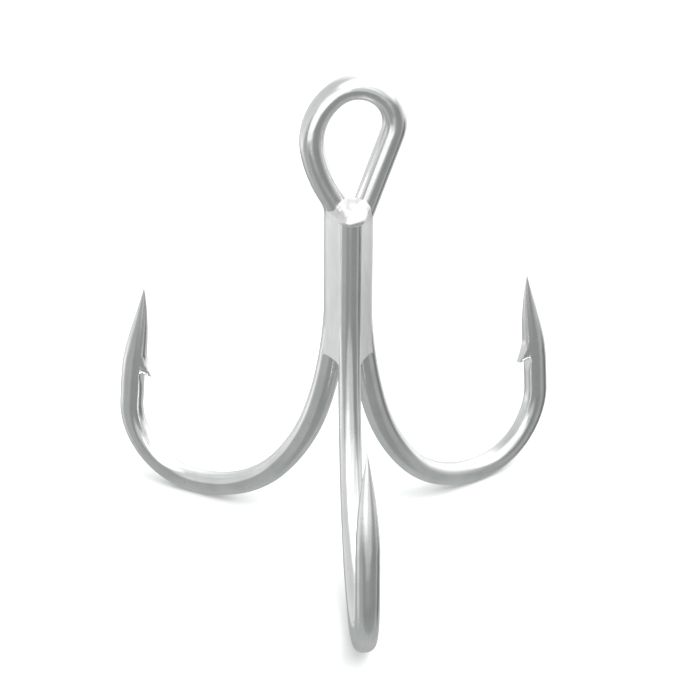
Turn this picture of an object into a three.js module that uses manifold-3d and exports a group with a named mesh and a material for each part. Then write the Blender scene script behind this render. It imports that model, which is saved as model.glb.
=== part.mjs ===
// A heavy saltwater treble hook. One wire is bent into two hooks with the eye loop between them,
// a second wire makes the third hook, and braze fills the valleys where the shanks lie together.
// Millimetres, +Z up the shank. The third hook points to -Y.
import * as THREE from 'three';
import { mergeVertices } from 'three/addons/utils/BufferGeometryUtils.js';
import Module from 'manifold-3d';

const wasm = await Module();
wasm.setup();

// ---- driving dimensions -------------------------------------------------------------------
const WIRE_R = 1.4;              // round wire before forging
const JOINT_GAP = 0.06;          // braze clearance between wires, and between wire and braze
const FORGED_DEPTH = 1.45;       // half depth of the flattened bend, in the plane of the hook
const FORGED_WIDTH = 1.33;       // half width of the flattened bend, across that plane
const FORGE_START = 1.2;         // along the wire from the end of the straight shank
const FORGE_END = 8.3;

const EYE_CENTRE = 24.7;         // height of the eye's centre above the shank datum
const BEND_START = 6.48;         // height where the hooks leave the straight shank
const THIRD_HOOK_LIFT = 0.3;     // the third hook sits a little higher than the pair

// the bend of one hook: arcs that open outwards from the shank, then the straight point limb
const BEND_ARCS = [
  { radius: 48.5, turn: 18.6 },
  { radius: 27.7, turn: 22.2 },
  { radius: 16.2, turn: 51.3 },
  { radius: 8.68, turn: 93.7 },
];
const LIMB_LENGTH = 16.7;
const TAPER_LENGTH = 10.8;
const TAPER_POWER = 1.73;        // above 1 gives the point convex sides
const TIP_OFFSET = 0.86;         // the point is ground towards the shank side
const TIP_SCALE = 0.03;

const THIRD_AZIMUTH = -90;
const RIGHT_AZIMUTH = 32.4;      // the pair splays a little more than even thirds
const LEFT_AZIMUTH = 150.5;

// barb, by distance down from the tip and height off the limb's inner side
const BARB_START = 9.3;
const BARB_END = 12.1;
const BARB_ROOT = 11.7;
const BARB_RISE = 1.15;
const BARB_WIDTH = 1.5;
const SCOOP_DEPTH = 0.24;
const SCOOP_END = 16.0;

// the eye: arcs in the plane of the double hook's shanks, from the right leg to the left leg
const EYE_ARCS = [
  { radius: 2.59, turn: -19.14 },
  { straight: 9.9 },
  { radius: 4.12, turn: 148.0 },
  { radius: 6.91, turn: 62.05 },
  { radius: 15.56, turn: 20.5 },
  { radius: 4.78, turn: -31.41 },
];
const EYE_RIGHT_START = 16.56;   // height where the right leg leaves the shank

const THIRD_TOP = 17.3;          // cut end of the third hook's wire
const BRAZE_TOP = 17.2;
const BRAZE_BOTTOM = -0.9;
const CORE_TOP = 17.0;
const CORE_BOTTOM = -2.4;

// the bead of braze that caps the third wire's end and fills the crotch of the eye
const BEAD_CENTRE = [0.35, -0.9, 17.6];
const BEAD_HALF_SIZE = [1.65, 1.9, 2.2];

const SIDES = 12;
const STEP_TURN = 7;             // degrees of bend for each step of a sweep
const STEP_LENGTH = 3;

// ---- derived ------------------------------------------------------------------------------
const LEG_RADIUS = (2 * WIRE_R + JOINT_GAP) / Math.sqrt(3);
const LEG_SPREAD = LEG_RADIUS * Math.cos(Math.PI / 6);   // the pair's legs stand at +-X of the axis
const EYE_PLANE = LEG_RADIUS / 2;                        // and this far behind it
const rad = THREE.MathUtils.degToRad;
const UP = new THREE.Vector3(0, 0, 1);

// ---- plane curves -------------------------------------------------------------------------
// A walk along straights and arcs from (x, z) at a heading, in radians. Each stop holds the
// place, the heading and the distance walked.
function walk(pieces, x, z, heading) {
  const stops = [{ x, z, heading, s: 0 }];
  for (const piece of pieces) {
    const from = stops[stops.length - 1];
    const turn = rad(piece.turn ?? 0);
    const length = piece.straight ?? piece.radius * Math.abs(turn);
    const steps = Math.ceil(Math.max(Math.abs(turn) / rad(STEP_TURN), length / STEP_LENGTH));
    for (let i = 1; i <= steps; i += 1) {
      const d = (length * i) / steps;
      const bent = (turn * i) / steps;
      const chord = turn === 0 ? d : (2 * piece.radius * Math.abs(Math.sin(bent / 2)));
      stops.push({
        x: from.x + chord * Math.cos(from.heading + bent / 2),
        z: from.z + chord * Math.sin(from.heading + bent / 2),
        heading: from.heading + bent,
        s: from.s + d,
      });
    }
  }
  return stops;
}

// ---- sweeps -------------------------------------------------------------------------------
// A path whose frame vectors carry the section's half sizes, so that ExtrudeGeometry of a unit
// outline gives a wire that flattens, tapers and shifts along its length.
class SectionPath extends THREE.Curve {
  constructor(stations) {
    super();
    this.stations = stations;
  }

  getSpacedPoints() {
    return this.stations.map((station) => station.centre);
  }

  computeFrenetFrames() {
    return {
      normals: this.stations.map((station) => station.normal),
      binormals: this.stations.map((station) => station.binormal),
      tangents: [],
    };
  }
}

function polygon(sides) {
  const points = [];
  for (let i = 0; i < sides; i += 1) {
    const angle = (2 * Math.PI * i) / sides;
    points.push(new THREE.Vector2(Math.cos(angle), Math.sin(angle)));
  }
  return new THREE.Shape(points);
}

function sweep(stations) {
  const extrudePath = new SectionPath(stations);
  return new THREE.ExtrudeGeometry(polygon(SIDES), { steps: stations.length - 1, extrudePath });
}

// A wire station: depth and width are the half sizes in and across the plane of the bend.
function station(centre, tangent, inward, depth, width) {
  const across = new THREE.Vector3().crossVectors(tangent, inward).normalize();
  const normal = inward.clone().multiplyScalar(depth);
  const binormal = across.multiplyScalar(width);
  return { centre, normal, binormal, tangent, inward };
}

// ---- one hook -----------------------------------------------------------------------------
function forged(s, full) {
  return THREE.MathUtils.lerp(WIRE_R, full, THREE.MathUtils.smoothstep(s, FORGE_START, FORGE_END));
}

// The hook's own plane: x outwards from its leg, z up, walked from the shank to the tip.
function hookProfile() {
  const bend = walk(BEND_ARCS, 0, BEND_START, rad(-90));
  const end = bend[bend.length - 1];
  const stops = bend.map((stop) => ({ ...stop, fade: 1 }));
  const tip = end.s + LIMB_LENGTH;
  const downs = [LIMB_LENGTH - 2.5, TAPER_LENGTH, 8, 5.5, 3.5, 2, 1, 0.4, 0];
  for (const down of downs) {
    const along = LIMB_LENGTH - down;
    const fade = 1 - (1 - Math.min(down / TAPER_LENGTH, 1)) ** TAPER_POWER;
    stops.push({
      x: end.x + along * Math.cos(end.heading),
      z: end.z + along * Math.sin(end.heading),
      heading: end.heading,
      s: tip - down,
      fade: Math.max(fade, TIP_SCALE),
    });
  }
  return stops;
}

// Stations from the shank to the tip, for a hook whose leg stands at (legX, legY).
function hookStations(legX, legY, azimuth, lift) {
  const outward = new THREE.Vector3(Math.cos(rad(azimuth)), Math.sin(rad(azimuth)), 0);
  return hookProfile().map((stop) => {
    const tangent = outward.clone().multiplyScalar(Math.cos(stop.heading));
    tangent.addScaledVector(UP, Math.sin(stop.heading));
    const inward = outward.clone().multiplyScalar(-Math.sin(stop.heading));
    inward.addScaledVector(UP, Math.cos(stop.heading));
    const centre = new THREE.Vector3(legX, legY, stop.z + lift);
    centre.addScaledVector(outward, stop.x);
    centre.addScaledVector(inward, TIP_OFFSET * (1 - stop.fade));
    const depth = forged(stop.s, FORGED_DEPTH) * stop.fade;
    const width = forged(stop.s, FORGED_WIDTH) * stop.fade;
    return station(centre, tangent, inward, depth, width);
  });
}

// The same wire walked from the tip to the shank: turning the inward side over as well as the
// tangent would mirror the section, so only the tangent and the binormal change sign.
function reversed(stations) {
  return stations.slice().reverse().map((s) => ({
    ...s,
    tangent: s.tangent.clone().negate(),
    binormal: s.binormal.clone().negate(),
  }));
}

// ---- solids -------------------------------------------------------------------------------
function toSolid(geometry) {
  const bare = geometry.clone();
  bare.deleteAttribute('normal');
  bare.deleteAttribute('uv');
  const merged = mergeVertices(bare, 1e-5);
  const vertProperties = new Float32Array(merged.attributes.position.array);
  const triVerts = new Uint32Array(merged.index.array);
  return new wasm.Manifold(new wasm.Mesh({ numProp: 3, vertProperties, triVerts }));
}

function toGeometry(solid) {
  const mesh = solid.getMesh();
  const geometry = new THREE.BufferGeometry();
  geometry.setAttribute('position', new THREE.BufferAttribute(mesh.vertProperties, 3));
  geometry.setIndex(new THREE.BufferAttribute(mesh.triVerts, 1));
  return geometry;
}

// A prism in the plane of a hook's point limb. The outline is (distance down from the tip,
// height towards the shank side above the limb's centre line).
function limbPrism(stations, outline, width) {
  const end = stations[stations.length - 1];
  const shape = new THREE.Shape(outline.map(([down, rise]) => new THREE.Vector2(-down, rise)));
  const prism = new THREE.ExtrudeGeometry(shape, { depth: width, bevelEnabled: false });
  prism.translate(0, 0, -width / 2);
  const tip = end.centre.clone().addScaledVector(end.inward, -TIP_OFFSET * (1 - TIP_SCALE));
  const across = new THREE.Vector3().crossVectors(end.tangent, end.inward);
  const place = new THREE.Matrix4().makeBasis(end.tangent, end.inward, across);
  prism.applyMatrix4(place.setPosition(tip));
  return toSolid(prism);
}

// The barb is a sliver cut from the inner side and bent up, above the scoop that it came from.
function cutBarb(wire, stations) {
  const floor = FORGED_DEPTH - SCOOP_DEPTH;
  const sliver = limbPrism(stations, [
    [BARB_START, FORGED_DEPTH - 0.1],
    [BARB_START, floor - 0.3],
    [BARB_ROOT, floor - 0.3],
    [BARB_ROOT, floor],
    [BARB_END, FORGED_DEPTH + BARB_RISE],
    [BARB_END - 0.7, FORGED_DEPTH + BARB_RISE * 0.62],
  ], BARB_WIDTH);
  const scoop = limbPrism(stations, [
    [BARB_ROOT, floor],
    [SCOOP_END, FORGED_DEPTH],
    [SCOOP_END, FORGED_DEPTH + 1],
    [BARB_ROOT, FORGED_DEPTH + 1],
  ], 4 * WIRE_R);
  return wire.subtract(scoop).add(sliver);
}

// ---- the wires ----------------------------------------------------------------------------
const rightLeg = hookStations(LEG_SPREAD, EYE_PLANE, RIGHT_AZIMUTH, 0);
const leftLeg = hookStations(-LEG_SPREAD, EYE_PLANE, LEFT_AZIMUTH, 0);
const thirdLeg = hookStations(0, -LEG_RADIUS, THIRD_AZIMUTH, THIRD_HOOK_LIFT);

function shankStation(from, z) {
  return { ...from, centre: new THREE.Vector3(from.centre.x, from.centre.y, z) };
}

// The eye carries the right leg's frame around the loop and eases it into the left leg's.
function eyeStations(radius) {
  const stops = walk(EYE_ARCS, LEG_SPREAD, EYE_RIGHT_START, rad(90));
  const total = stops[stops.length - 1].s;
  const start = rightLeg[0].inward;
  const goal = leftLeg[0].inward;
  const turned = start.clone().applyAxisAngle(new THREE.Vector3(0, -1, 0), Math.PI);
  const ease = turned.angleTo(goal) * Math.sign(turned.clone().cross(goal).dot(UP.clone().negate()));
  return stops.map((stop) => {
    const tangent = new THREE.Vector3(Math.cos(stop.heading), 0, Math.sin(stop.heading));
    const inward = start.clone();
    inward.applyAxisAngle(new THREE.Vector3(0, -1, 0), stop.heading - rad(90));
    inward.applyAxisAngle(tangent, (ease * stop.s) / total);
    return station(new THREE.Vector3(stop.x, EYE_PLANE, stop.z), tangent, inward, radius, radius);
  });
}

function doubleHookSolid() {
  const eye = eyeStations(WIRE_R);
  const stations = [...reversed(rightLeg), ...eye, ...leftLeg];
  const wire = toSolid(sweep(stations));
  return cutBarb(cutBarb(wire, rightLeg), leftLeg);
}

// The eye with a short stretch of both legs, at any radius.
function eyeCutter(radius) {
  const eye = eyeStations(radius);
  const below = BEAD_CENTRE[2] - 2 * BEAD_HALF_SIZE[2];
  return toSolid(sweep([shankStation(eye[0], below), ...eye, shankStation(eye.at(-1), below)]));
}

function singleHookSolid() {
  const top = shankStation(thirdLeg[0], THIRD_TOP);
  const collar = shankStation(thirdLeg[0], (THIRD_TOP + BEND_START) / 2);
  const wire = toSolid(sweep([top, collar, ...thirdLeg]));
  return cutBarb(wire, thirdLeg);
}

// ---- braze --------------------------------------------------------------------------------
// How far the hooks have moved out from their legs at a height on the first arc of the bend.
function spread(z) {
  const drop = Math.max(BEND_START - z, 0);
  const arc = BEND_ARCS[0];
  return arc.radius - Math.sqrt(arc.radius ** 2 - drop ** 2);
}

const FILLET_EDGE = 68;          // degrees round the wire, where a fillet's outer face begins
const FILLET_DEEP = 8;           // least angle of a fillet's root, below the line of centres
const ARC_POINTS = 4;
const WEB = 0.09;                // least half thickness of a fillet's root
const CORE_WEB = 0.054;          // and of the core where it passes between two wires
const FACE_SHARE = 0.55;         // how much of the way between two wires is flat

// One wire's side as seen from a valley: angle 0 faces the neighbouring wire, 90 faces out.
function valleySide(z, angle, sign) {
  const legs = LEG_RADIUS + spread(z);
  const clear = FORGED_DEPTH + JOINT_GAP - (FORGED_DEPTH - WIRE_R) * (z > BEND_START ? 1 : 0);
  return new THREE.Vector2(
    sign * (legs * Math.sin(Math.PI / 3) - clear * Math.cos(rad(angle))),
    legs / 2 + clear * Math.sin(rad(angle)),
  );
}

// The smallest angle at which braze is still at least WEB thick on each side of the valley.
function rootAngle(z, thickness) {
  const legs = LEG_RADIUS + spread(z);
  const clear = FORGED_DEPTH + JOINT_GAP - (FORGED_DEPTH - WIRE_R) * (z > BEND_START ? 1 : 0);
  const cosine = (legs * Math.sin(Math.PI / 3) - thickness) / clear;
  return THREE.MathUtils.radToDeg(Math.acos(Math.min(cosine, 1)));
}

function filletOutline(z) {
  const deep = Math.max(rootAngle(z, WEB), FILLET_DEEP);
  const angles = [];
  for (let i = 0; i < ARC_POINTS; i += 1) {
    angles.push(THREE.MathUtils.lerp(deep, FILLET_EDGE, i / (ARC_POINTS - 1)));
  }
  const right = angles.map((angle) => valleySide(z, angle, 1));
  const left = angles.map((angle) => valleySide(z, angle, -1)).reverse();
  const face = LEG_RADIUS / 2 + spread(z) / 2 + WIRE_R;
  const half = LEG_SPREAD * FACE_SHARE;
  return [...right, new THREE.Vector2(half, face), new THREE.Vector2(-half, face), ...left];
}

function coreOutline(z) {
  const points = [];
  const deep = Math.max(rootAngle(z, CORE_WEB), FILLET_DEEP);
  for (let valley = 0; valley < 3; valley += 1) {
    const turn = rad(valley * 120);
    for (const [angle, sign] of [[-30, 1], [-deep, 1], [-deep, -1]]) {
      points.push(valleySide(z, angle, sign).rotateAround(new THREE.Vector2(), turn));
    }
  }
  return points;
}

// A closed loft through horizontal outlines with equal point counts, lowest first.
function loft(outlines, heights) {
  const count = outlines[0].length;
  const shape = new THREE.Shape(outlines[0]);
  const steps = heights.length - 1;
  const geometry = new THREE.ExtrudeGeometry(shape, { depth: 1, steps, bevelEnabled: false });
  const position = geometry.attributes.position;
  const first = outlines[0];
  for (let i = 0; i < position.count; i += 1) {
    const level = Math.round(position.getZ(i) * steps);
    const here = new THREE.Vector2(position.getX(i), position.getY(i));
    const gaps = first.map((point) => point.distanceTo(here));
    const match = gaps.indexOf(Math.min(...gaps));
    const target = outlines[level][match % count];
    position.setXYZ(i, target.x, target.y, heights[level]);
  }
  return toSolid(geometry);
}

function levels(bottom, top, steps) {
  const heights = [];
  for (let i = 0; i <= steps; i += 1) {
    heights.push(THREE.MathUtils.lerp(bottom, top, i / steps));
  }
  return heights;
}

function fillet(azimuth) {
  const heights = [...levels(BRAZE_BOTTOM, BEND_START - 0.01, 5), BEND_START + 0.01, BRAZE_TOP];
  const turn = rad(azimuth - 90);
  const outlines = heights.map((z) => filletOutline(z).map(
    (point) => point.rotateAround(new THREE.Vector2(), turn),
  ));
  return toGeometry(loft(outlines, heights));
}

function core() {
  const heights = [...levels(CORE_BOTTOM, BEND_START - 0.01, 7), BEND_START + 0.01, CORE_TOP];
  return toGeometry(loft(heights.map(coreOutline), heights));
}

function crownBead() {
  const blob = new THREE.SphereGeometry(1, 24, 14);
  blob.scale(...BEAD_HALF_SIZE).translate(...BEAD_CENTRE);
  const block = 20;
  const floor = new THREE.BoxGeometry(block, block, block);
  floor.translate(0, 0, THIRD_TOP + JOINT_GAP - block / 2);
  const rounded = toSolid(blob).subtract(toSolid(floor));
  return toGeometry(rounded.subtract(eyeCutter(WIRE_R + JOINT_GAP)));
}

// ---- assembly -----------------------------------------------------------------------------
const tinned = { color: 0xc9cccd, roughness: 0.3, metalness: 0.95 };
const braze = { color: 0xd3d4d2, roughness: 0.42, metalness: 0.85 };

const hook = new THREE.Group();
// the eye's centre is the origin of the part
hook.position.set(0, -EYE_PLANE, -EYE_CENTRE);

function add(name, geometry, look) {
  const mesh = new THREE.Mesh(geometry, new THREE.MeshStandardMaterial(look));
  mesh.name = name;
  hook.add(mesh);
}

add('double_hook_wire', toGeometry(doubleHookSolid()), tinned);
add('single_hook_wire', toGeometry(singleHookSolid()), tinned);
add('braze_fillet_left', fillet(210), braze);
add('braze_fillet_right', fillet(-30), braze);
add('braze_fillet_rear', fillet(90), braze);
add('braze_core', core(), braze);
add('braze_crown_bead', crownBead(), braze);

const part = new THREE.Group();
part.add(hook);
export default part;
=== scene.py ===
"""A treble fishing hook in bright tinned steel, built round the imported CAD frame.

Lengths are written in millimetres and become metres through MM, except where a name ends in _M.
Each wire is a fine sweep along the same line as its CAD solid, with forged bends, ground points
and barbs raised from its inner side. Angles are in degrees.
"""
import math

import bmesh
import bpy
import numpy as np
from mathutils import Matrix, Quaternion, Vector, noise


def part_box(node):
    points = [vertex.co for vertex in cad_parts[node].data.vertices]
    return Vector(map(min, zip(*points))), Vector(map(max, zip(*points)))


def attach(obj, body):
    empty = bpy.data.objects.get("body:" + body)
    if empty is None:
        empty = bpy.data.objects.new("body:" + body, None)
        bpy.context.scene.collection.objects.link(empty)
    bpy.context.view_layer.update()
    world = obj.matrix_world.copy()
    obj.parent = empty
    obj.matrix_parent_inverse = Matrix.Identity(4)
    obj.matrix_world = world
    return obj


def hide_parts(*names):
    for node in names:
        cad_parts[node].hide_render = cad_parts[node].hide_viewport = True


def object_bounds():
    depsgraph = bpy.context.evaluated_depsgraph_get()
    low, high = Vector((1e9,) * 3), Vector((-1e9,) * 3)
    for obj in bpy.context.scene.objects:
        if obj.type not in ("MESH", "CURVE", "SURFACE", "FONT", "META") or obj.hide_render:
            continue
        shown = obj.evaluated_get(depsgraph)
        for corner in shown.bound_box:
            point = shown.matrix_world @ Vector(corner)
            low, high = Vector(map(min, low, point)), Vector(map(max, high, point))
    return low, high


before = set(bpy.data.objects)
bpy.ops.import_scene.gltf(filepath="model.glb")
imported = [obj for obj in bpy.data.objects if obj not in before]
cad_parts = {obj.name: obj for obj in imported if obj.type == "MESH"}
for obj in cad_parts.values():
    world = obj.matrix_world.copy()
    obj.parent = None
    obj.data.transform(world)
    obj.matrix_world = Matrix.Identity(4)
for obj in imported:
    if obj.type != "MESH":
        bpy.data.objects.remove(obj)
cad_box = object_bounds()

MM = 0.001

# ---- what the frame gives ---------------------------------------------------------------------
third_low, third_high = (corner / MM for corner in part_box("single_hook_wire"))
base_z = cad_box[0].z / MM

WIRE_R = (third_high.x - third_low.x) / 2
# The pair's legs stand half a leg radius behind the shank's axis, in the plane y = 0, and the third
# wire a whole one in front of it. So the third wire's rear side is at WIRE_R - 1.5 * LEG_RADIUS.
LEG_RADIUS = (WIRE_R - third_high.y) / 1.5
LEG_X = LEG_RADIUS * math.cos(math.pi / 6)
LEG_Y = LEG_RADIUS / 2
SHANK_Y = -LEG_Y
THIRD_TOP = third_high.z

# ---- the hooks, as in the CAD model ------------------------------------------------------------
EYE = Vector((0, 0, 0))                         # the frame starts at the centre of its opening
DATUM_Z = -24.7                                 # the shank's datum, below the eye's centre
SHANK = Vector((0, SHANK_Y, DATUM_Z))
UP = Vector((0, 0, 1))
BEND_START = 6.48                               # above the datum
THIRD_HOOK_LIFT = 0.3                           # the third hook sits a little higher
LIMB_LENGTH = 16.7                              # from the end of the bend to the tip
THIRD_AZIMUTH = -90
RIGHT_AZIMUTH = 32.4
LEFT_AZIMUTH = 150.5
# A path is made of arcs (radius, turn) and straights (None, length).
BEND_ARCS = [(48.5, 18.6), (27.7, 22.2), (16.2, 51.3), (8.68, 93.7)]
EYE_ARCS = [(2.59, -19.14), (None, 9.9), (4.12, 148.0), (6.91, 62.05), (15.56, 20.5), (4.78, -31.41)]
EYE_RIGHT_START = 16.56                         # where the right leg leaves the shank

FORGED_DEPTH = 1.45                             # half sizes in and across a hook's plane
FORGED_WIDTH = 1.33
FORGE_START = 1.2                               # along the wire from the start of the bend
FORGE_END = 8.3
ROUND_POWER = 2.0
FORGED_POWER = 2.35                             # a superellipse, so the forged sides are flatter

# ---- the point limb, by distances down from the tip ----------------------------------------------
TAPER_LENGTH = 10.8
TAPER_POWER = 1.55                              # above 1 gives the point convex sides
TIP_OFFSET = 1.0                                # the point is ground towards the shank side
TIP_OFFSET_END = 14                             # where the limb starts to lean that way
TIP_SCALE = 0.022                               # the tip's size as a share of the wire's

BARB_START = 9.3                                # where it leaves the wire
BARB_TIP = 12.1
BARB_ROOT = 11.7                                # where its underside meets the wire
BARB_FOLD = 11.98                               # where the rows for its underside bunch up
BARB_FOLD_STEP = 0.04
BARB_CREST = BARB_FOLD - 0.05                   # and where those for its upper side begin
BARB_RISE = 1.4
BARB_FLAT_ANGLE = 27                            # it has its full height to here each way round
BARB_EDGE_ANGLE = 38                            # and none past here
BARB_NARROWING = 0.6                            # the share of its width it loses towards its tip
BARB_UNDER_CURVE = 1.5
BARB_UPPER_CURVE = 1.7
SCOOP_DEPTH = 0.24
SCOOP_END = 14.2
SCOOP_CURVE = 1.3
SCOOP_FADE = 0.7                                # it is gone this far out along the underside
POINT_CURVE = 1.5                               # rows get closer towards the tip
GROUND_LAP = 1                                  # grinding marks fade out from this far over the barb
SCOOP_ROWS = np.linspace(0, 1, 12)
UNDER_ROWS = np.linspace(0.12, 1, 9)
UPPER_ROWS = np.linspace(0.03, 1, 22)
POINT_ROWS = np.linspace(0, 1, 30)[1:]

# ---- the braze, by heights above the datum -------------------------------------------------------
FILLET_END = -0.8                               # where the fillets' faces stop on the wires below
FILLET_ARCH = 0.45                              # and how much higher they stop between them
FILLET_ARCH_POWER = 4
FILLET_MARGIN = 0.15                            # rows stay close together this far above the arch
FILLET_TAIL = 1.9                               # how far they then sink away into the valley
FILLET_STEP = 0.12                              # the little step there, and its height
FILLET_SINK = 1.3
FILLET_RAMP = 0.8
# Each fillet ends above in a slope, whose middle is at these heights on its first and second wire.
FILLET_TOPS = {"left": (18.25, 17.8), "right": (17.7, 18.2), "rear": (18.0, 18.0)}
FILLET_RUNOUT = 0.7                             # the slope's height and depth
FILLET_LAP = 0.4                                # how far a fillet's film wraps on round a wire
FILLET_LAP_SINK = 0.1
FILLET_SAG = 0.02
FILLET_RIPPLE = 0.015
FILLET_WAVES = (1.1, 0.5, 9)
FILLET_ROOT = 0.2                               # the hidden side's depth past the wires' middles
FILLET_HEEL = 0.1                               # and its distance from the shank's axis
FILLET_SPAN = 25                                # points across the face
FILLET_ROWS = 60                                # rows at its lower end, and again above that
FILM = 0.02                                     # the film's thickness on a wire
CORE_END = -2.5
CORE_RIM = 0.4
CORE_TOP = 16.5
CORE_REACH = 0.8                                # share of the way to the wires and valleys
CORE_HOLLOW = 0.1                               # and to the valleys at the hollow end
CORE_ROWS = 20
FIRST_ARC_ROWS = 20                             # the rows of a bend that are beside the shank
LOOP_ROWS = 12                                  # and those of the eye

# The bead's blobs as (centre, half sizes), from the shank's axis.
BEAD_BLOBS = (
    ((0.12, -1.82, 17.46), (1.45, 1.38, 0.82)),
    ((0.25, -0.95, 17.9), (1.55, 1.3, 1.0)),
    ((0.35, 0.3, 18.1), (1.3, 1.1, 1.1)),
    ((1.45, -0.1, 18.2), (1.0, 0.85, 1.1)),
)
BEAD_HEART = (0.4, -0.7, 17.8)
BEAD_BLEND = 1.6                                # lower values run the blobs together more
BEAD_REACH = 4.0                                # more than its farthest point from the heart
BEAD_RIPPLE = 0.02
BEAD_WAVES = 0.9
BEAD_DETAIL = 6
BEAD_HALVINGS = 24                              # steps that close in on the surface

# ---- fineness ------------------------------------------------------------------------------------
SIDES = 64
TURN_STEP = 1.6                                 # degrees between rows in a bend
STRAIGHT_STEP = 0.6
SHARP_ANGLE = 40
WOBBLE = 0.012                                  # hand-finished unevenness of the wire
WOBBLE_COARSE = 0.45
WOBBLE_FINE = 1.3
WOBBLE_FINE_SHARE = 0.5
WOBBLE_SHIFT = Vector((7, 3, 1))                # so that the two don't rise and fall together
# The sheared end of the third wire, as shares of its radius and drops from its top.
CUT_END = ((0.5, 0.0), (0.97, 0.005), (1.0, 0.03))


def smooth(value, low, high):
    """Eases from 0 at low to 1 at high."""
    t = min(max((value - low) / (high - low), 0.0), 1.0)
    return t * t * (3 - 2 * t)


def mix(a, b, t):
    return a + (b - a) * t


# ---- paths ---------------------------------------------------------------------------------------
def walk(pieces, x, z, heading):
    """Stops (x, z, heading, distance) along a path's arcs and straights."""
    stops = [(x, z, heading, 0.0)]
    for radius, amount in pieces:
        x0, z0, h0, s0 = stops[-1]
        turn = 0.0 if radius is None else math.radians(amount)
        length = amount if radius is None else radius * abs(turn)
        steps = math.ceil(max(abs(turn) / math.radians(TURN_STEP), length / STRAIGHT_STEP / 2))
        for i in range(1, steps + 1):
            t = i / steps
            half = turn * t / 2
            chord = length * t if radius is None else 2 * radius * abs(math.sin(half))
            stops.append((
                x0 + chord * math.cos(h0 + half),
                z0 + chord * math.sin(h0 + half),
                h0 + turn * t,
                s0 + length * t,
            ))
    return stops


def row(centre, tangent, inward, depth, width, side=1, power=ROUND_POWER, barb=(0.0, 0.0, 0.0),
        ground=0.0):
    """One section of a wire. Depth and width are its half sizes in and across the bend's plane,
    and barb is (pull, lift, floor), as limb_rows gives them. Side keeps the outline's points
    counted the same way round where the walk changes direction against the hook."""
    across = side * tangent.cross(inward).normalized()
    return {"centre": centre, "forward": tangent, "inward": inward, "across": across,
            "depth": depth, "width": width, "power": power, "barb": barb, "ground": ground}


def limb_rows():
    """Rows of the point limb as (distance down from the tip, pull, lift, floor).

    Pull moves the barb's middle along the limb away from its row, lift raises it off the wire,
    and floor is how far the scoop below the barb is cut into the wire.
    """
    rows = []
    for down in np.arange(LIMB_LENGTH - STRAIGHT_STEP, SCOOP_END, -STRAIGHT_STEP):
        rows.append((down, 0.0, 0.0, 0.0))
    for t in SCOOP_ROWS:                        # up the scoop to the barb's root
        down = mix(SCOOP_END, BARB_FOLD, t)
        reach = mix(SCOOP_END, BARB_ROOT, t)
        rows.append((down, reach - down, 0.0, SCOOP_DEPTH * t ** SCOOP_CURVE))
    for t in UNDER_ROWS:                        # out along the barb's underside
        down = BARB_FOLD - BARB_FOLD_STEP * t
        reach = mix(BARB_ROOT, BARB_TIP, t ** BARB_UNDER_CURVE)
        floor = SCOOP_DEPTH * (1 - smooth(t, 0, SCOOP_FADE))
        rows.append((down, reach - down, BARB_RISE * t, floor))
    for t in UPPER_ROWS:                        # back along the barb's upper side
        down = mix(BARB_CREST, BARB_START, t)
        reach = mix(BARB_TIP, BARB_START, t)
        rise = BARB_RISE * (1 - t) ** BARB_UPPER_CURVE
        rows.append((down, reach - down, rise, 0.0))
    for t in POINT_ROWS:
        down = BARB_START * (1 - t) ** POINT_CURVE
        rows.append((down, 0.0, 0.0, 0.0))
    return rows


def hook_rows(leg, azimuth, lift, side=1):
    """Rows from the shank to the tip of the hook whose leg stands at leg, in its own plane."""
    turn = math.radians(azimuth)
    outward = Vector((math.cos(turn), math.sin(turn), 0))

    def place(x, z, heading):
        tangent = outward * math.cos(heading) + UP * math.sin(heading)
        inward = -outward * math.sin(heading) + UP * math.cos(heading)
        centre = leg + outward * x + UP * (z + lift)
        return centre, tangent, inward

    rows = []
    stops = walk(BEND_ARCS, 0, BEND_START, -math.pi / 2)
    for x, z, heading, s in stops:
        forge = smooth(s, FORGE_START, FORGE_END)
        depth = mix(WIRE_R, FORGED_DEPTH, forge)
        width = mix(WIRE_R, FORGED_WIDTH, forge)
        power = mix(ROUND_POWER, FORGED_POWER, forge)
        rows.append(row(*place(x, z, heading), depth, width, side, power))
    x, z, heading, _ = stops[-1]
    for down, *barb in limb_rows():
        along = LIMB_LENGTH - down
        fade = max(1 - (1 - min(down / TAPER_LENGTH, 1)) ** TAPER_POWER, TIP_SCALE)
        centre, tangent, inward = place(
            x + along * math.cos(heading), z + along * math.sin(heading), heading)
        centre = centre + inward * TIP_OFFSET * (1 - smooth(down, 0, TIP_OFFSET_END))
        ground = 1 - smooth(down, BARB_START - GROUND_LAP, TAPER_LENGTH)
        rows.append(row(centre, tangent, inward, FORGED_DEPTH * fade, FORGED_WIDTH * fade, side,
                        FORGED_POWER, barb, ground))
    return rows


def leg_rows(start, top):
    """Straight rows from a hook's first row up its shank leg."""
    rise = top - start["centre"].z
    count = math.ceil(rise / STRAIGHT_STEP)
    return [{**start, "centre": start["centre"] + UP * (rise * i / count)}
            for i in range(1, count + 1)]


def eye_rows(right, left):
    """The loop from the right leg to the left, easing one leg's frame into the other's."""
    stops = walk(EYE_ARCS, LEG_X, EYE_RIGHT_START, math.pi / 2)
    total = stops[-1][3]
    start = right["inward"]
    goal = left["inward"]
    arrived = start.copy()
    arrived.rotate(Quaternion((0, -1, 0), math.pi))
    ease = arrived.angle(goal) * math.copysign(1, arrived.cross(goal).dot(-UP))
    rows = []
    for x, z, heading, s in stops:
        tangent = Vector((math.cos(heading), 0, math.sin(heading)))
        inward = start.copy()
        inward.rotate(Quaternion((0, -1, 0), heading - math.pi / 2))
        inward.rotate(Quaternion(tangent, ease * s / total))
        centre = SHANK + Vector((x, LEG_Y, z))
        rows.append(row(centre, tangent, inward, WIRE_R, WIRE_R, side=-1))
    return rows


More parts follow.
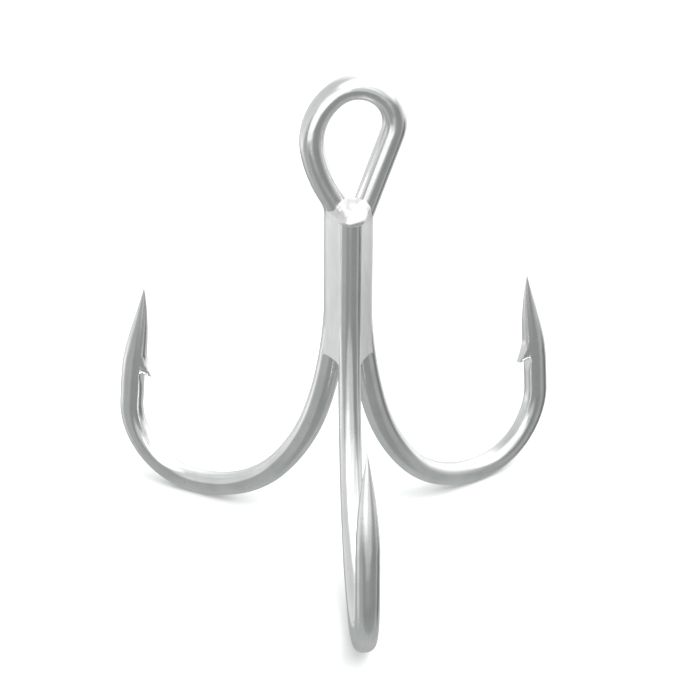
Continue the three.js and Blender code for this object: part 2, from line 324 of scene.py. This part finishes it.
# ---- meshes --------------------------------------------------------------------------------------
def section(r):
    """The points of one row's outline, with the barb's shape and the wire's unevenness."""
    pull, lift, floor = r["barb"]
    narrow = 1 - BARB_NARROWING * lift / BARB_RISE
    points = []
    for i in range(SIDES):
        angle = 2 * math.pi * i / SIDES
        c, s = math.cos(angle), math.sin(angle)
        high = math.copysign(abs(c) ** (2 / r["power"]), c) * r["depth"]
        side = math.copysign(abs(s) ** (2 / r["power"]), s) * r["width"]
        off = math.degrees(min(angle, 2 * math.pi - angle))
        weight = 1 - smooth(off, BARB_FLAT_ANGLE * narrow, BARB_EDGE_ANGLE * narrow)
        if floor:
            high = min(high, r["depth"] - floor)
        high += lift * weight
        away = r["inward"] * high + r["across"] * side
        point = r["centre"] + away - r["forward"] * pull * weight
        ripple = noise.noise(point * WOBBLE_COARSE)
        ripple += WOBBLE_FINE_SHARE * noise.noise(point * WOBBLE_FINE + WOBBLE_SHIFT)
        amount = WOBBLE * ripple * min(r["depth"] / WIRE_R, 1)
        points.append(point + away.normalized() * amount)
    return points


def sweep_mesh(name, rows):
    """A closed tube through the rows, each end closed to a point, with a UV map in millimetres:
    u runs round the wire and v along it."""
    rings = [section(r) for r in rows]
    count = len(rings)
    points = [p for ring in rings for p in ring]
    first, last = len(points), len(points) + 1
    points += [rows[0]["centre"], rows[-1]["centre"]]
    faces = []
    for j in range(count - 1):
        for i in range(SIDES):
            k = (i + 1) % SIDES
            faces.append((j * SIDES + i, j * SIDES + k, (j + 1) * SIDES + k, (j + 1) * SIDES + i))
    for i in range(SIDES):
        k = (i + 1) % SIDES
        faces.append((first, k, i))
        faces.append((last, (count - 1) * SIDES + i, (count - 1) * SIDES + k))
    mesh = bpy.data.meshes.new(name)
    mesh.from_pydata([p * MM for p in points], [], faces)
    along = [0.0]
    for a, b in zip(rows, rows[1:]):
        along.append(along[-1] + (b["centre"] - a["centre"]).length)
    ground = mesh.attributes.new("ground", "FLOAT", "POINT")
    ground.data.foreach_set("value", [
        *(r["ground"] for r in rows for _ in range(SIDES)), rows[0]["ground"], rows[-1]["ground"]])
    uv = mesh.uv_layers.new(name="wire")
    girth = 2 * math.pi * WIRE_R
    for polygon in mesh.polygons:
        corners = [mesh.loops[li].vertex_index for li in polygon.loop_indices]
        wraps = {v % SIDES for v in corners if v < first} >= {0, SIDES - 1}
        for li, v in zip(polygon.loop_indices, corners):
            i, j = (v % SIDES, v // SIDES) if v < first else (0, 0 if v == first else count - 1)
            u = i / SIDES if not (wraps and i == 0) else 1.0
            uv.data[li].uv = (u * girth, along[j])
    return finish_mesh(name, mesh)


def finish_mesh(name, mesh):
    """Outward faces, smooth shading with true edges, and an object in the scene."""
    work = bmesh.new()
    work.from_mesh(mesh)
    bmesh.ops.recalc_face_normals(work, faces=work.faces)
    work.to_mesh(mesh)
    work.free()
    for polygon in mesh.polygons:
        polygon.use_smooth = True
    mesh.set_sharp_from_angle(angle=math.radians(SHARP_ANGLE))
    made = bpy.data.objects.new(name, mesh)
    bpy.context.scene.collection.objects.link(made)
    return made


# ---- the wires -----------------------------------------------------------------------------------
right_hook = hook_rows(SHANK + Vector((LEG_X, LEG_Y, 0)), RIGHT_AZIMUTH, 0)
left_hook = hook_rows(SHANK + Vector((-LEG_X, LEG_Y, 0)), LEFT_AZIMUTH, 0, side=-1)
third_hook = hook_rows(SHANK + Vector((0, -LEG_RADIUS, 0)), THIRD_AZIMUTH, THIRD_HOOK_LIFT)
eye = eye_rows(right_hook[0], left_hook[0])
right_leg = leg_rows(right_hook[0], eye[0]["centre"].z)[:-1]
left_leg = leg_rows(left_hook[0], eye[-1]["centre"].z)[:-1]
third_leg = leg_rows(third_hook[0], THIRD_TOP)


def double_hook_wire():
    """The pair of hooks and the eye, from the right tip to the left."""
    return sweep_mesh("double_hook", right_hook[::-1] + right_leg + eye + left_leg[::-1] + left_hook)


def single_hook_wire():
    """The third hook, from its sheared top end down."""
    top = third_leg[-1]
    cut_end = []
    for scale, drop in CUT_END:
        size = WIRE_R * scale
        cut_end.append({**top, "centre": top["centre"] - UP * drop, "depth": size, "width": size})
    return sweep_mesh("single_hook", cut_end + third_leg[-2::-1] + third_hook)


# ---- the braze -----------------------------------------------------------------------------------
def plan_track(hook, leg, loop=()):
    """A function of height above the datum that gives where a wire stands in plan and how far it
    reaches from its middle, from its rows near the shank."""
    rows = hook[FIRST_ARC_ROWS::-1] + leg + list(loop)
    heights = [r["centre"].z - SHANK.z for r in rows]
    xs = [r["centre"].x for r in rows]
    ys = [r["centre"].y for r in rows]
    # The braze touches a section nearer to its width's side than to its depth's.
    reaches = [(r["depth"] + 3 * r["width"]) / 4 for r in rows]

    def at(z):
        place = Vector((np.interp(z, heights, xs), np.interp(z, heights, ys)))
        return place, float(np.interp(z, heights, reaches))
    return at


right_track = plan_track(right_hook, right_leg, eye[:LOOP_ROWS])
left_track = plan_track(left_hook, left_leg, eye[:-LOOP_ROWS:-1])
third_track = plan_track(third_hook, third_leg)


def ring_loft(name, rings):
    """A closed solid through rings of points, which all have the same count."""
    count = len(rings[0])
    points = [p * MM for ring in rings for p in ring]
    faces = [tuple(range(count))[::-1], tuple(range(len(points) - count, len(points)))]
    for j in range(len(rings) - 1):
        for i in range(count):
            k = (i + 1) % count
            faces.append((j * count + i, j * count + k, (j + 1) * count + k, (j + 1) * count + i))
    mesh = bpy.data.meshes.new(name)
    mesh.from_pydata(points, [], faces)
    return finish_mesh(name, mesh)


def fillet(side, first, second):
    """The filler in one valley. Its outer face lies against the plane that touches both wires, and
    its hidden side runs through the wires to the core. The wires come anticlockwise."""
    tops = FILLET_TOPS[side]
    bottom = FILLET_END - FILLET_TAIL
    face_start = FILLET_END + FILLET_ARCH + FILLET_MARGIN
    levels = [(z, 0.0) for z in np.linspace(bottom, face_start, FILLET_ROWS)]
    levels += [(face_start, t) for t in np.linspace(0, 1, FILLET_ROWS)[1:]]
    rings = []
    for z, rise in levels:
        ring = []
        for t in np.linspace(-1, 1, FILLET_SPAN):
            top = mix(tops[0], tops[1], (t + 1) / 2) + FILLET_RUNOUT / 2
            here = mix(z, top, rise)
            (a, size_a), (b, size_b) = first(here), second(here)
            along = (b - a).normalized()
            out = Vector((along.y, -along.x))
            half = (b - a).length / 2
            s = t * (half + FILLET_LAP)
            beyond = max(abs(s) - half, 0) / FILLET_LAP
            within = min(abs(s) / half, 1)
            arch = FILLET_ARCH * (1 - within ** FILLET_ARCH_POWER)
            past = max(FILLET_END + arch - here, 0)
            sink = FILLET_STEP * smooth(past, 0, FILLET_STEP)
            sink += FILLET_SINK * (1 - math.exp(-past / FILLET_RAMP))
            sink += FILLET_RUNOUT * smooth(here, top - FILLET_RUNOUT, top)
            proud = FILM * (1 - beyond) - FILLET_LAP_SINK * beyond ** 2
            proud -= FILLET_SAG * (1 - within ** 2)
            wave = [value * scale for value, scale in zip((s, here, a.x), FILLET_WAVES)]
            ripple = FILLET_RIPPLE * noise.noise(Vector(wave))
            height = mix(size_a, size_b, (t + 1) / 2) + proud + ripple - sink
            place = (a + b) / 2 + along * s + out * height
            ring.append(Vector((place.x, place.y, SHANK.z + here)))
        # The hidden side is level with the last point across.
        heel = Vector((0, SHANK_Y)) + out * FILLET_HEEL
        for place in (b - out * FILLET_ROOT, heel, a - out * FILLET_ROOT):
            ring.append(Vector((place.x, place.y, SHANK.z + here)))
        rings.append(ring)
    return ring_loft(f"fillet_{side}", rings)


def braze_core():
    """The filler between all three wires, which ends below in a hollow cone."""
    tracks = (right_track, left_track, third_track)
    axis = Vector((0, SHANK_Y))
    rings = []
    for z in [*np.linspace(CORE_END, 0, CORE_ROWS), CORE_TOP]:
        places = [track(z)[0] - axis for track in tracks]
        fill = mix(CORE_HOLLOW, CORE_REACH, smooth(z, CORE_END - CORE_RIM, 0))
        ring = []
        for i, place in enumerate(places):
            valley = (place + places[(i + 1) % 3]) / 2
            ring += [place * CORE_REACH, valley * fill]
        rings.append([Vector((p.x, p.y + SHANK_Y, SHANK.z + z)) for p in ring])
    return ring_loft("core", rings)


def crown_bead():
    """The bead that caps the third wire: every point of a ball is moved in or out to the surface
    of a few blobs that run together."""
    heart = np.array(BEAD_HEART)
    work = bmesh.new()
    bmesh.ops.create_icosphere(work, subdivisions=BEAD_DETAIL, radius=1)
    ways = np.array([v.co[:] for v in work.verts])
    near = np.zeros(len(ways))
    far = np.full(len(ways), BEAD_REACH)
    for _ in range(BEAD_HALVINGS):
        reach = (near + far) / 2
        place = heart + ways * reach[:, None]
        field = 0
        for centre, half in BEAD_BLOBS:
            distance = (((place - centre) / half) ** 2).sum(axis=1)
            field = field + np.exp(BEAD_BLEND * (1 - distance))
        near, far = np.where(field > 1, reach, near), np.where(field > 1, far, reach)
    for vertex, way, reach in zip(work.verts, ways, near):
        place = heart + way * reach
        place += way * BEAD_RIPPLE * noise.noise(Vector(place * BEAD_WAVES))
        vertex.co = (Vector(place) + Vector((0, SHANK_Y, SHANK.z))) * MM
    mesh = bpy.data.meshes.new("bead")
    work.to_mesh(mesh)
    work.free()
    return finish_mesh("bead", mesh)


PIECES = {
    "double_hook_wire": (double_hook_wire(), "tinned_steel"),
    "single_hook_wire": (single_hook_wire(), "tinned_steel"),
    "braze_fillet_left": (fillet("left", left_track, third_track), "braze"),
    "braze_fillet_right": (fillet("right", third_track, right_track), "braze"),
    "braze_fillet_rear": (fillet("rear", right_track, left_track), "braze"),
    "braze_core": (braze_core(), "braze"),
    "braze_crown_bead": (crown_bead(), "braze"),
}
for node, (piece, slot) in PIECES.items():
    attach(piece, "root")
    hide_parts(node)


# ---- materials -----------------------------------------------------------------------------------
TIN_PALE = (0.85, 0.85, 0.845, 1)
TIN_DARK = (0.70, 0.715, 0.71, 1)
TIN_PIT = (0.50, 0.51, 0.50, 1)
TIN_ROUGHNESS = (0.15, 0.23)                    # from the brightest patches to the dullest
LINE_ROUGHNESS = (-0.02, 0.04)                  # what the lines and the grinding add to it
GROUND_ROUGHNESS = 0.06
BRAZE_PALE = (0.86, 0.855, 0.85, 1)
BRAZE_DARK = (0.77, 0.775, 0.77, 1)
BRAZE_ROUGHNESS = (0.26, 0.4)

MIDDLE = (0.3, 0.7)                             # most of a noise's values are between these
CLOUD_BAND = (0.35, 0.7)
LINE_DARKENING = (0.4, 1)
STREAK_DARKENING = (0.3, 1)
PIT_BAND = (0.70, 0.80)
PIT_DARKENING = 0.5
# Scales of noise are per metre, and the stretches on the wire's UV map per millimetre.
CLOUD_SCALE = 260
GRAIN_SCALE = 6500
PIT_SCALE = 2600
LINE_STRETCH = (7, 0.22, 1)
MARK_STRETCH = (0.7, 9, 1)
BRAZE_CLOUD_SCALE = 380
BRAZE_CLOUD_STRETCH = (1, 1, 0.35)
BRAZE_STREAK_SCALE = 2400
BRAZE_STREAK_STRETCH = (1, 1, 0.06)
BRAZE_GRAIN_SCALE = 5200
LINE_DEPTH_M = 0.0000016
GRAIN_DEPTH_M = 0.0000009
MARK_DEPTH_M = 0.0000030
PIT_DEPTH_M = 0.0000040
STREAK_DEPTH_M = 0.0000030
BRAZE_GRAIN_DEPTH_M = 0.0000012


class Nodes:
    """Short ways to add nodes to one tree and join them up."""

    def __init__(self, tree):
        self.tree = tree

    def add(self, kind, inputs=(), **settings):
        """A node with these inputs, each of them a value or a socket to link, and settings."""
        node = self.tree.nodes.new(kind)
        for key, value in settings.items():
            setattr(node, key, value)
        for key, value in dict(inputs).items():
            self.feed(node.inputs[key], value)
        return node

    def feed(self, socket, value):
        if isinstance(value, bpy.types.NodeSocket):
            self.tree.links.new(value, socket)
        else:
            socket.default_value = value

    def noise(self, vector, scale, detail=3, stretch=(1, 1, 1)):
        place = self.add("ShaderNodeMapping", {"Vector": vector, "Scale": stretch})
        made = self.add("ShaderNodeTexNoise", {
            "Vector": place.outputs["Vector"], "Scale": scale, "Detail": detail})
        return made.outputs["Fac"]

    def span(self, value, low, high, to_low, to_high, smoothed=False):
        """The value moved from one range to another, and held at its ends."""
        made = self.add("ShaderNodeMapRange", {
            "Value": value, "From Min": low, "From Max": high, "To Min": to_low, "To Max": to_high},
            interpolation_type="SMOOTHSTEP" if smoothed else "LINEAR")
        return made.outputs["Result"]

    def math(self, operation, a, b=0.0):
        return self.add("ShaderNodeMath", {0: a, 1: b}, operation=operation).outputs[0]

    def product(self, a, b):
        return self.math("MULTIPLY", a, b)

    def blend(self, factor, a, b):
        """A colour from a to b. The node's sockets share their names, so they go by number."""
        return self.add("ShaderNodeMix", {0: factor, 6: a, 7: b}, data_type="RGBA").outputs[2]

    def bump(self, height, distance, normal=None):
        made = self.add("ShaderNodeBump", {"Height": height, "Distance": distance})
        if normal:
            self.feed(made.inputs["Normal"], normal)
        return made.outputs["Normal"]


def metal(name):
    made = bpy.data.materials.new(name)
    made.use_nodes = True
    shader = made.node_tree.nodes["Principled BSDF"]
    shader.inputs["Metallic"].default_value = 1.0
    return made, Nodes(made.node_tree), shader


def tinned_steel():
    """Bright tin on drawn wire: cloudy patches, fine lines along the wire, a few pits, and grinding
    marks across it on the points."""
    made, nodes, shader = metal("tinned_steel")
    place = nodes.add("ShaderNodeTexCoord").outputs["Object"]
    wire = nodes.add("ShaderNodeUVMap", uv_map="wire").outputs["UV"]
    ground = nodes.add("ShaderNodeAttribute", attribute_name="ground").outputs["Fac"]
    cloud = nodes.noise(place, CLOUD_SCALE, detail=4)
    lines = nodes.noise(wire, 1, stretch=LINE_STRETCH)
    grain = nodes.noise(place, GRAIN_SCALE, detail=2)
    marks = nodes.noise(wire, 1, detail=2, stretch=MARK_STRETCH)
    pits = nodes.span(nodes.noise(place, PIT_SCALE, detail=1), *PIT_BAND, 0, 1)

    cloudy = nodes.span(cloud, *CLOUD_BAND, 0, 1)
    lined = nodes.span(lines, *MIDDLE, *LINE_DARKENING)
    colour = nodes.blend(nodes.product(cloudy, lined), TIN_PALE, TIN_DARK)
    colour = nodes.blend(nodes.product(pits, PIT_DARKENING), colour, TIN_PIT)
    rough = nodes.span(cloud, *MIDDLE, *TIN_ROUGHNESS)
    rough = nodes.math("ADD", rough, nodes.span(lines, *MIDDLE, *LINE_ROUGHNESS))
    rough = nodes.math("ADD", rough, nodes.product(ground, GROUND_ROUGHNESS))
    normal = nodes.bump(lines, LINE_DEPTH_M)
    normal = nodes.bump(grain, GRAIN_DEPTH_M, normal)
    normal = nodes.bump(nodes.product(marks, ground), MARK_DEPTH_M, normal)
    normal = nodes.bump(pits, -PIT_DEPTH_M, normal)
    nodes.feed(shader.inputs["Base Color"], colour)
    nodes.feed(shader.inputs["Roughness"], rough)
    nodes.feed(shader.inputs["Normal"], normal)
    return made


def braze_metal():
    """Satin filler, wiped down the shank, so its patches and streaks run lengthwise."""
    made, nodes, shader = metal("braze")
    place = nodes.add("ShaderNodeTexCoord").outputs["Object"]
    cloud = nodes.noise(place, BRAZE_CLOUD_SCALE, stretch=BRAZE_CLOUD_STRETCH)
    streaks = nodes.noise(place, BRAZE_STREAK_SCALE, stretch=BRAZE_STREAK_STRETCH)
    grain = nodes.noise(place, BRAZE_GRAIN_SCALE, detail=2)
    cloudy = nodes.span(cloud, *MIDDLE, 0, 1)
    streaked = nodes.span(streaks, *MIDDLE, *STREAK_DARKENING)
    colour = nodes.blend(nodes.product(cloudy, streaked), BRAZE_PALE, BRAZE_DARK)
    normal = nodes.bump(streaks, STREAK_DEPTH_M)
    normal = nodes.bump(grain, BRAZE_GRAIN_DEPTH_M, normal)
    nodes.feed(shader.inputs["Base Color"], colour)
    nodes.feed(shader.inputs["Roughness"], nodes.span(cloud, *MIDDLE, *BRAZE_ROUGHNESS))
    nodes.feed(shader.inputs["Normal"], normal)
    return made


SKINS = {"tinned_steel": tinned_steel(), "braze": braze_metal()}
for piece, slot in PIECES.values():
    piece.data.materials.append(SKINS[slot])


# ---- studio --------------------------------------------------------------------------------------
# Soft light panels, far away: azimuth, elevation, half angle of the even part, width of the fall to
# nothing, and strength. Azimuths run round from the front towards +X.
PANELS = (
    (30, 52, 40, 14, 0.80),                     # the key, above and to the right
    (-120, 42, 64, 10, 0.42),                   # the fill, on the left
    (129, 27, 8, 70, 1.25),                     # behind on the right
    (-3, 8, 24, 8, 0.53),                       # low over the camera
    (-104, -28, 6, 16, 0.30),                   # low on the left
)
# Dark cards, which take away a share of what is behind them: the same, with a share for the strength.
CARDS = (
    (12, -20, 44, 8, 0.30),                     # below the camera
    (101, -28, 9, 12, 0.70),                    # low on the right
)
ROOM = (0.378, 0.392, 0.389)                    # the dim room between them
ROOM_FALL = -0.35                               # it is darker towards the ceiling
WHITE = (1, 1, 1, 1)
FLOOR_HALF = 4000
FLOOR_COLOUR = (0.92, 0.92, 0.92, 1)

CAMERA_ELEVATION = 27.55
CAMERA_AZIMUTH = -4.38
CAMERA_DISTANCE = 208.7
CAMERA_ROLL = 0.53
CAMERA_AIM_RIGHT = 0.217                        # how far right of the datum it looks
LENS = 90.8
SENSOR_WIDTH = 36
CLIP_START_M = 0.01


def toward(azimuth, elevation):
    """The way to a light or camera, by its azimuth round from the front towards +X and elevation."""
    turn, rise = math.radians(azimuth), math.radians(elevation)
    return Vector((math.sin(turn) * math.cos(rise), -math.cos(turn) * math.cos(rise), math.sin(rise)))


def studio_world():
    """A dim room with soft panels in it. The camera itself sees plain white."""
    world = bpy.data.worlds.new("studio")
    bpy.context.scene.world = world
    world.use_nodes = True
    tree = world.node_tree
    tree.nodes.clear()
    nodes = Nodes(tree)
    way = nodes.add("ShaderNodeTexCoord").outputs["Generated"]

    def patch(azimuth, elevation, even, fall, strength):
        """The strength, by direction, of one round patch with a soft edge."""
        facing = nodes.add("ShaderNodeVectorMath", {0: way, 1: toward(azimuth, elevation)},
                           operation="DOT_PRODUCT").outputs["Value"]
        inner, outer = math.radians(even), math.radians(even + fall)
        return nodes.span(nodes.math("ARCCOSINE", facing), inner, outer, strength, 0, smoothed=True)

    total = 0.0
    for panel in PANELS:
        total = nodes.math("ADD", total, patch(*panel))
    height = nodes.add("ShaderNodeSeparateXYZ", {0: way}).outputs["Z"]
    dim = nodes.span(height, -1, 1, 1 - ROOM_FALL, 1 + ROOM_FALL)
    kept = 1.0
    for card in CARDS:
        kept = nodes.product(kept, nodes.math("SUBTRACT", 1.0, patch(*card)))
    room = nodes.add("ShaderNodeBackground", {
        "Color": (*ROOM, 1), "Strength": nodes.product(dim, kept)})
    panels = nodes.add("ShaderNodeBackground", {
        "Color": WHITE, "Strength": nodes.product(total, kept)})
    both = nodes.add("ShaderNodeAddShader", {0: room.outputs[0], 1: panels.outputs[0]})
    plain = nodes.add("ShaderNodeBackground", {"Color": WHITE, "Strength": 1.0})
    seen = nodes.add("ShaderNodeLightPath").outputs["Is Camera Ray"]
    mixed = nodes.add("ShaderNodeMixShader", {0: seen, 1: both.outputs[0], 2: plain.outputs[0]})
    output = nodes.add("ShaderNodeOutputWorld")
    nodes.feed(output.inputs["Surface"], mixed.outputs[0])


def softbox(name, target, azimuth, elevation, distance, size, power):
    """A square lamp that faces its target and that the camera doesn't see. Power is in watts."""
    data = bpy.data.lights.new(name, "AREA")
    data.shape = "SQUARE"
    data.size = size * MM
    data.energy = power
    made = bpy.data.objects.new(name, data)
    bpy.context.scene.collection.objects.link(made)
    way = toward(azimuth, elevation)
    made.location = (target + way * distance) * MM
    made.visible_camera = False
    made.rotation_euler = way.to_track_quat("Z", "Y").to_euler()


def floor_plane():
    """A pale table top at the height of the bends. The metal doesn't mirror it."""
    mesh = bpy.data.meshes.new("floor")
    signs = [(-1, -1), (1, -1), (1, 1), (-1, 1)]
    corners = [Vector((x * FLOOR_HALF, y * FLOOR_HALF, base_z)) * MM for x, y in signs]
    mesh.from_pydata(corners, [], [(0, 1, 2, 3)])
    made = bpy.data.objects.new("floor", mesh)
    bpy.context.scene.collection.objects.link(made)
    skin = bpy.data.materials.new("table")
    skin.use_nodes = True
    shader = skin.node_tree.nodes["Principled BSDF"]
    shader.inputs["Base Color"].default_value = FLOOR_COLOUR
    shader.inputs["Roughness"].default_value = 1.0
    shader.inputs["Specular IOR Level"].default_value = 0.0
    mesh.materials.append(skin)
    made.visible_glossy = False


def camera():
    """A camera that looks at the shank's datum from in front and above."""
    azimuth = math.radians(CAMERA_AZIMUTH)
    right = Vector((math.cos(azimuth), math.sin(azimuth), 0))
    back = toward(CAMERA_AZIMUTH, CAMERA_ELEVATION)
    data = bpy.data.cameras.new("camera")
    data.lens = LENS
    data.sensor_width = SENSOR_WIDTH
    data.clip_start = CLIP_START_M
    made = bpy.data.objects.new("camera", data)
    bpy.context.scene.collection.objects.link(made)
    aim = SHANK + right * CAMERA_AIM_RIGHT
    made.location = (aim + back * CAMERA_DISTANCE) * MM
    facing = back.to_track_quat("Z", "Y")
    made.rotation_euler = (facing @ Quaternion((0, 0, 1), math.radians(CAMERA_ROLL))).to_euler()
    bpy.context.scene.camera = made


studio_world()
softbox("key", SHANK, azimuth=32, elevation=60, distance=700, size=450, power=2.0)
softbox("eye_front", EYE, azimuth=-24, elevation=5, distance=90, size=76, power=0.017)
floor_plane()
camera()
bpy.context.scene.view_settings.view_transform = "Standard"
